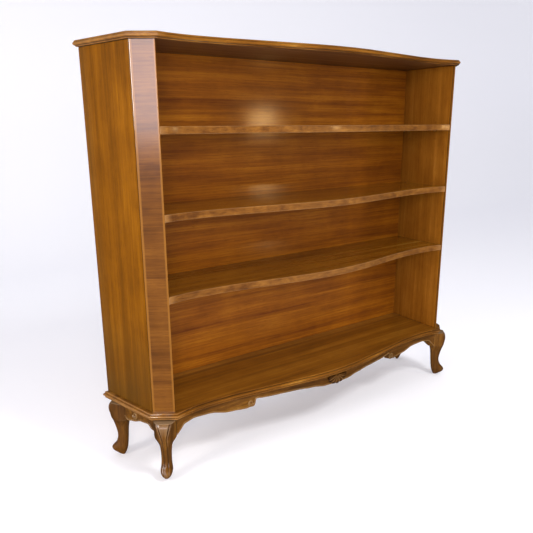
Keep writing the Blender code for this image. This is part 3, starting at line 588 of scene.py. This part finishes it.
# carved work: solid walnut off the chisel, scraped and varnished, pale on the ridges and dark in the
# cuts, partly wear and old polish and partly painted highlight and shade
carvedLook = dict(panelLook, grainScale=(26.0, 26.0, 0.9), sway=0.020, bump=0.15,
                  colours=((0.0, "#341C06"), (0.3, "#4C2D08"), (0.6, "#643D0C"), (0.85, "#7A5014"),
                           (1.0, "#906628")),
                  wearAndHighlight=0.70, wearAndHighlightFrom=0.05, wearAndHighlightTo=0.30, wornAndHighlightColour="#8A7256", poreColour="#241204",
                  coatRoughness=0.22, coat=0.6)
legWalnut = walnut("walnut_solid_carved_upright", carvedLook)
for name in ("front_left", "front_right", "rear_left", "rear_right"):
    addPiece("carved_leg_" + name, legPiece("leg_" + name), legWalnut, "case", "walnut_solid",
             ["leg_" + name], angle=50.0, weighted=False)
print("legs done")

# Aprons: sawn to their scallops, with a carved bead along the lower edge and volutes in relief.
apron = dict(arris=0.0016, beadRadius=0.0030, beadSides=12, beadUp=0.0028, beadPoints=3, voluteTurns=1.6,
             voluteRadius=0.0125, voluteEnd=0.0032, voluteSteps=44, voluteBead=0.0038, voluteThin=0.0018,
             voluteTip=0.0008,
             frontVolute=0.371, frontDrop=0.0315, sideVolute=0.62, sideDrop=0.0200)


def beadPiece(points, outward, radii):   # half-sunk round bead along points on a face
    def pointAt(ring, side):
        last = len(points) - 1
        along = (points[min(last, ring + 1)] - points[max(0, ring - 1)]).normalized()
        up = along.cross(outward).normalized()
        turn = 2.0 * pi * side / apron["beadSides"]
        return points[ring] + (up * cos(turn) + outward * sin(turn)) * radii[ring]
    return loftRings(len(points), apron["beadSides"], pointAt)


def lowerEdge(node, out):   # the outer face's lower edge, from end to end
    bm = nodeMesh(node)
    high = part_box(node)[1].z
    low = [v.co.copy() for v in bm.verts if v.co.z < high - 0.005]
    bm.free()
    outer = []
    along = Vector((-out.y, out.x, 0.0))
    for spot in low:
        near = [o for o in low if abs((o - spot).dot(along)) < 0.012]
        if all((o - spot).dot(out) < 0.010 for o in near):
            outer.append(spot)
    return outer


def smoothPath(points, share):   # rounded path through points, a few steps between neighbours
    table = [(n, *p) for n, p in enumerate(points)]
    count = (len(points) - 1) * share
    return [Vector(smoothAt(table, n / share)) for n in range(count + 1)]


def tapered(count, radius, ends=4):   # radii of a bead that thins at both ends
    return [radius * min(1.0, 0.25 + 0.75 * min(n, count - 1 - n) / ends) for n in range(count)]


def volute(centre, along, out, hand):   # spiral bead, from its wide end inwards
    points, radii = [], []
    for n in range(apron["voluteSteps"]):
        share = n / (apron["voluteSteps"] - 1)
        reach = apron["voluteRadius"] + (apron["voluteEnd"] - apron["voluteRadius"]) * share ** 0.8
        turn = hand * 2.0 * pi * apron["voluteTurns"] * share
        points.append(centre + along * reach * cos(turn) + Vector((0.0, 0.0, -reach * sin(turn) * hand)))
        radii.append(apron["voluteBead"] - apron["voluteThin"] * share)
    radii[0] = radii[-1] = apron["voluteTip"]
    return beadPiece(points, out, radii)


apronLook = dict(carvedLook, grainScale=(0.9, 26.0, 26.0))
apronWalnut = walnut("walnut_solid_sawn_lengthwise", {k: v for k, v in apronLook.items() if k != "wearAndHighlight"})
# beads and volutes: the ridges painted paler, partly wear and partly a painted highlight
beadWalnut = walnut("walnut_solid_carved_lengthwise", dict(
    apronLook, wearAndHighlight=0.55, wearAndHighlightTo=0.20, wornAndHighlightColour="#A68454"))
front = Vector((0.0, -1.0, 0.0))
sideOut = Vector((-cos(radians(5.0)), -sin(radians(5.0)), 0.0))


def addCarving(name, bm):
    markWearAndHighlight(bm)
    addPiece(name, bm, beadWalnut, "case", "walnut_solid", angle=60.0, weighted=False)


for side, outward in (("front", front), ("left", sideOut), ("right", sideOut * Vector((-1, 1, 1)))):
    node = "apron_" + side
    bm = nodeMesh(node)
    bevelEdges(bm, [e for e in sharpEdges(bm, 40.0, 0.002)
                    if max(v.co.z for v in e.verts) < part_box(node)[1].z - 0.002], apron["arris"], 2)
    addPiece("scalloped_apron_" + side, bm, apronWalnut, "case", "walnut_solid", [node])
    edge = lowerEdge(node, outward)
    edge.sort(key=lambda p: p.x if side == "front" else p.y)
    path = [p + Vector((0.0, 0.0, apron["beadUp"])) for p in smoothPath(edge, apron["beadPoints"])]
    addCarving("apron_bead_" + side, beadPiece(path, outward, tapered(len(path), apron["beadRadius"])))
    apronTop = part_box(node)[1].z
    if side == "front":
        for hand in (-1, 1):
            x = hand * apron["frontVolute"]
            y = min(edge, key=lambda p: abs(p.x - x)).y
            centre = Vector((x, y, apronTop - apron["frontDrop"]))
            addCarving("apron_volute_front_%s" % ("left" if hand < 0 else "right"),
                       volute(centre, Vector((-hand, 0.0, 0.0)), front, hand))
    else:
        spot = edge[0].lerp(edge[-1], apron["sideVolute"])
        centre = Vector((spot.x, spot.y, apronTop - apron["sideDrop"]))
        along = (edge[-1] - edge[0])
        along.z = 0.0
        addCarving("apron_volute_" + side, volute(centre, along.normalized(), outward, 1))
print("aprons done")

# Shell: a fan of ribs with a scalloped rim, hollowed between the ribs, a straight moulded edge on top.
shell = dict(ribs=7, across=85, along=22, rimScallop=0.055, ribHeight=0.0036, crown=0.0044, back=0.0012,
             hub=0.10, wearAndHighlightGain=2.6)
low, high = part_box("shell_carving")
bm = bmesh.new()
bmesh.ops.create_grid(bm, x_segments=shell["across"], y_segments=shell["along"], size=0.5)
for vert in bm.verts:
    fan, reach = vert.co.x + 0.5, vert.co.y + 0.5
    angle = pi + pi * fan
    rib = abs(cos(pi * shell["ribs"] * (fan - 0.5)))
    radius = shell["hub"] + (1.0 - shell["hub"]) * reach
    radius *= 1.0 - shell["rimScallop"] * (1.0 - rib) * reach
    dome = shell["crown"] * sin(pi * min(1.0, 0.12 + reach * 0.88)) ** 0.6
    dome += shell["ribHeight"] * rib ** 0.7 * reach
    vert.co = Vector(((high.x - low.x) / 2 * radius * cos(angle), high.y - shell["back"] - dome,
                      high.z + (high.z - low.z) * radius * sin(angle)))
backing = bmesh.ops.extrude_edge_only(bm, edges=[e for e in bm.edges if e.is_boundary])["geom"]
rim = [g for g in backing if isinstance(g, bmesh.types.BMVert)]
for vert in rim:
    vert.co.y = high.y
bmesh.ops.holes_fill(bm, edges=[e for e in bm.edges if e.is_boundary], sides=0)
markWearAndHighlight(bm)
wearAndHighlight = bm.verts.layers.float["wearAndHighlight"]
# the shell's ridges painted paler and its hollows darker, partly wear and partly painted highlight and
# shade
for vert in bm.verts:
    vert[wearAndHighlight] *= shell["wearAndHighlightGain"]
addPiece("carved_shell", bm, beadWalnut, "case", "walnut_solid", ["shell_carving"], angle=50.0,
         weighted=False)
print("shell done")

# Shelf pins: brass rod, chamfered on the lathe, with a shallow ring where the hole begins.
pin = dict(sides=28, radius=0.0025, chamfer=0.0006, ringAt=0.47, ringDepth=0.0002)
brass = toolMarkedMetal("brass_turned_dull", dict(
    lineScale=(2600.0, 300.0, 300.0), patchScale=220.0, roughLow=0.24, roughHigh=0.42,
    colours=((0.3, "#9C7A3C"), (0.5, "#C09A50"), (0.75, "#D8B468"))))
for name in sorted(n for n in nodes if n.startswith("shelf_pin_")):
    spots = sorted((v.co.copy() for v in nodes[name].data.vertices), key=lambda p: p.x)
    unique = []
    for spot in spots:
        if all((spot - other).length > 0.00002 for other in unique):
            unique.append(spot)
    ends = [sum(part, Vector()) / len(part) for part in (unique[:12], unique[-12:])]
    along = (ends[1] - ends[0]).normalized()
    length = (ends[1] - ends[0]).length
    profile = ((0.0, -0.6), (0.0, -0.25), (pin["chamfer"] / length, 0.0), (pin["ringAt"] - 0.03, 0.0),
               (pin["ringAt"], -pin["ringDepth"] / pin["chamfer"]), (pin["ringAt"] + 0.03, 0.0),
               (1.0 - pin["chamfer"] / length, 0.0), (1.0, -0.25), (1.0, -0.6))
    aside = Vector((-along.y, along.x, 0.0))

    def pointAt(ring, side):
        place, sink = profile[ring]
        turn = 2.0 * pi * side / pin["sides"]
        reach = pin["radius"] + sink * pin["chamfer"]
        spoke = aside * cos(turn) + Vector((0.0, 0.0, sin(turn)))
        return ends[0] + along * length * place + spoke * reach

    addPiece("brass_" + name, loftRings(len(profile), pin["sides"], pointAt), brass,
             name, "brass_turned", [name], angle=25.0, weighted=False)
print("pins done")

# Back screws: domed slotted heads, the shank plain.
screw = dict(sides=28, headHigh=0.0022, headRadius=0.0038, shankRadius=0.0018, tip=0.005,
             slotHalf=0.00045, slotDepth=0.0010,
             profile=((0.0, 0.25), (0.0, 0.62), (0.05, 0.86), (0.22, 0.98), (1.0, 1.0)))
steel = toolMarkedMetal("steel_cold_headed", dict(
    lineScale=(900.0, 900.0, 900.0), patchScale=260.0, roughLow=0.30, roughHigh=0.52,
    colours=((0.3, "#7C7974"), (0.55, "#9A9792"), (0.8, "#B0ADA8"))))
for name in sorted(n for n in nodes if n.startswith("back_screw_")):
    low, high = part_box(name)
    middle = (low + high) / 2
    outline = [(high.y - screw["headHigh"] * out, screw["headRadius"] * wide)
               for out, wide in screw["profile"]]
    outline += [(high.y - screw["headHigh"], screw["shankRadius"]),
                (low.y + screw["tip"], screw["shankRadius"]), (low.y, screw["shankRadius"] * 0.3)]

    def pointAt(ring, side):
        y, reach = outline[ring]
        turn = 2.0 * pi * side / screw["sides"]
        return Vector((middle.x + reach * cos(turn), y, middle.z + reach * sin(turn)))

    bm = loftRings(len(outline), screw["sides"], pointAt)
    for sign in (-1, 1):   # the slot's two walls, then its floor pushed in
        bmesh.ops.bisect_plane(bm, geom=bm.verts[:] + bm.edges[:] + bm.faces[:], dist=0.000001,
                               plane_co=(0.0, 0.0, middle.z + sign * screw["slotHalf"]),
                               plane_no=(0.0, 0.0, 1.0))
    bm.normal_update()
    strip = [f for f in bm.faces if f.calc_center_median().y > high.y - screw["headHigh"] * 0.3
             and abs(f.calc_center_median().z - middle.z) < screw["slotHalf"]]
    grown = bmesh.ops.extrude_face_region(bm, geom=strip)["geom"]
    bmesh.ops.delete(bm, geom=strip, context="FACES")
    bmesh.ops.translate(bm, verts=[g for g in grown if isinstance(g, bmesh.types.BMVert)],
                        vec=(0.0, -screw["slotDepth"], 0.0))
    addPiece("slotted_" + name, bm, steel, "case", "steel_screw", [name], angle=30.0, weighted=False)
print("screws done")

# Rear rail and glue blocks: planed pine, never finished, so pale and matt with clear growth bands.
block = dict(arris=0.0012)
pine = plainBoard("pine_planed_unfinished", dict(
    grainScale=(1.4, 34.0, 34.0), colours=((0.0, "#9A6C38"), (0.4, "#BA8C52"), (0.75, "#CEA66C"),
                                          (1.0, "#D8B680")), rough=0.78, bump=0.3))
for name in ["rail_rear"] + sorted(n for n in nodes if n.startswith("glue_block_")):
    bm = nodeMesh(name)
    bevelEdges(bm, sharpEdges(bm), block["arris"], 2)
    addPiece("planed_" + name, bm, pine, "case", "pine_unfinished", [name])
print("rail and blocks done")


stage = dict(paperGlow=0.14, wallRun=3.2, cornerRadius=1.6, wallHeight=6.0, halfWidth=18.0,
             frontRun=6.0, cornerSteps=12)

# seamless paper, matt and near white, a little brighter than its light so that the floor stays clean
made, tree = newMaterial("matt_white_studio_paper")
grainy = addNode(tree, "ShaderNodeTexNoise", {"Scale": 3.0, "Detail": 2.0})
paper = rampOf(tree, grainy.outputs[0], ((0.3, "#EDEDF1"), (0.7, "#F2F2F5")))
shader = addNode(tree, "ShaderNodeBsdfPrincipled",
                 {"Base Color": paper, "Roughness": 0.9, "Specular IOR Level": 0.1,
                  "Emission Color": linear("#F4F4FF"), "Emission Strength": stage["paperGlow"]})
addNode(tree, "ShaderNodeOutputMaterial", {"Surface": shader.outputs[0]})
bm = bmesh.new()
edge = [bm.verts.new((sign * stage["halfWidth"], -stage["frontRun"], 0.0)) for sign in (-1, 1)]
line = [bm.edges.new(edge)]
path = [(0.0, stage["frontRun"] + stage["wallRun"], 0.0)]
turn = stage["cornerRadius"] * pi / 2 / stage["cornerSteps"]
for n in range(stage["cornerSteps"]):
    slope = pi / 2 * (n + 0.5) / stage["cornerSteps"]
    path += [(0.0, turn * cos(slope), turn * sin(slope))]
path += [(0.0, 0.0, stage["wallHeight"])]
for step in path:
    grown = bmesh.ops.extrude_edge_only(bm, edges=line)
    line = [g for g in grown["geom"] if isinstance(g, bmesh.types.BMEdge)]
    bmesh.ops.translate(bm, verts=[g for g in grown["geom"] if isinstance(g, bmesh.types.BMVert)],
                        vec=step)
bmesh.ops.recalc_face_normals(bm, faces=bm.faces)
mesh = bpy.data.meshes.new("studio_floor")
bm.to_mesh(mesh)
bm.free()
mesh.polygons.foreach_set("use_smooth", [True] * len(mesh.polygons))
mesh.materials.append(made)
floorSheet = bpy.data.objects.new("studio_floor", mesh)
bpy.context.scene.collection.objects.link(floorSheet)
floorSheet.visible_glossy = False   # the varnish shows the lamps, not the paper

# lamps shown in gloss only give the reflections; those that light surfaces only are the soft fills
lamps = (   # name, place, aimed at, width, height, watts, colour, shown in gloss, lights surfaces
    ("left box", (-3.00, -0.35, 1.35), (-0.70, 0.0, 0.60), 0.7, 0.9, 28.0, "#FFFAF4", False, True),
    ("left arris gloss", (-3.00, 0.30, 1.45), (-0.73, -0.1, 1.20), 1.5, 0.7, 100.0, "#FFFFFF",
     True, False),
    ("left front gloss", (-2.55, -1.95, 1.62), (-0.60, -0.1, 0.90), 1.1, 1.3, 38.0, "#F4ECF6",
     True, False),
    ("left front fill", (-2.40, -2.80, 1.50), (0.1, 0.0, 0.80), 1.2, 1.2, 70.0, "#FFF6EC", False, True),
    ("right front spot", (2.64, -3.10, 1.13), (0.0, 0.1, 1.05), 0.20, 0.20, 2.3, "#FFD08C", True, False),
    ("right front fill", (2.64, -3.10, 1.13), (0.0, 0.1, 0.85), 0.30, 0.30, 20.0, "#FFF4E4",
     False, True),
    ("front overhead", (0.20, -2.60, 3.10), (0.0, 0.0, 0.50), 0.8, 0.8, 60.0, "#FFFFFF", False, True),
)
for name, place, aim, width, height, watts, colour, glossy, diffuse in lamps:
    lamp = bpy.data.lights.new(name, "AREA")
    lamp.shape = "RECTANGLE"
    lamp.size, lamp.size_y = width, height
    lamp.energy = watts
    lamp.color = linear(colour)[:3]
    holder = bpy.data.objects.new(name, lamp)
    bpy.context.scene.collection.objects.link(holder)
    holder.location = place
    holder.rotation_euler = (Vector(aim) - Vector(place)).to_track_quat("-Z", "Y").to_euler()
    holder.visible_glossy = glossy
    holder.visible_diffuse = diffuse

world = bpy.data.worlds.new("studio air")
world.use_nodes = True
tree = world.node_tree
tree.nodes.clear()
ray = addNode(tree, "ShaderNodeLightPath").outputs["Is Glossy Ray"]
soft = addNode(tree, "ShaderNodeBackground", {"Color": linear("#F4F4FA"), "Strength": 0.75})
dim = addNode(tree, "ShaderNodeBackground", {"Color": linear("#6A5A4C"), "Strength": 0.20})
mixed = addNode(tree, "ShaderNodeMixShader", {0: ray, 1: soft.outputs[0], 2: dim.outputs[0]})
addNode(tree, "ShaderNodeOutputWorld", {"Surface": mixed.outputs[0]})
bpy.context.scene.world = world
bpy.context.scene.view_settings.view_transform = "Standard"

view = dict(place=(-1.6422, backPlane - 1.9077, baseTop + 0.848), turn=0.6960, tilt=0.30588,
            roll=-0.00747, lens=43.79, shift=0.1223)
camera = bpy.data.cameras.new("view")
camera.lens = view["lens"]
camera.sensor_width = 36.0
camera.shift_y = view["shift"]
camera.clip_end = 60.0
eye = bpy.data.objects.new("view", camera)
bpy.context.scene.collection.objects.link(eye)
eye.rotation_mode = "QUATERNION"
look = Vector((sin(view["turn"]) * cos(view["tilt"]), cos(view["turn"]) * cos(view["tilt"]),
               -sin(view["tilt"])))
across = Vector((cos(view["turn"]), -sin(view["turn"]), 0.0))
up = across.cross(look)
right = across * cos(view["roll"]) + up * sin(view["roll"])
above = up * cos(view["roll"]) - across * sin(view["roll"])
eye.rotation_quaternion = Matrix((right, above, -look)).transposed().to_quaternion()
eye.location = view["place"]
bpy.context.scene.camera = eye
print("stage, lamps and camera done")
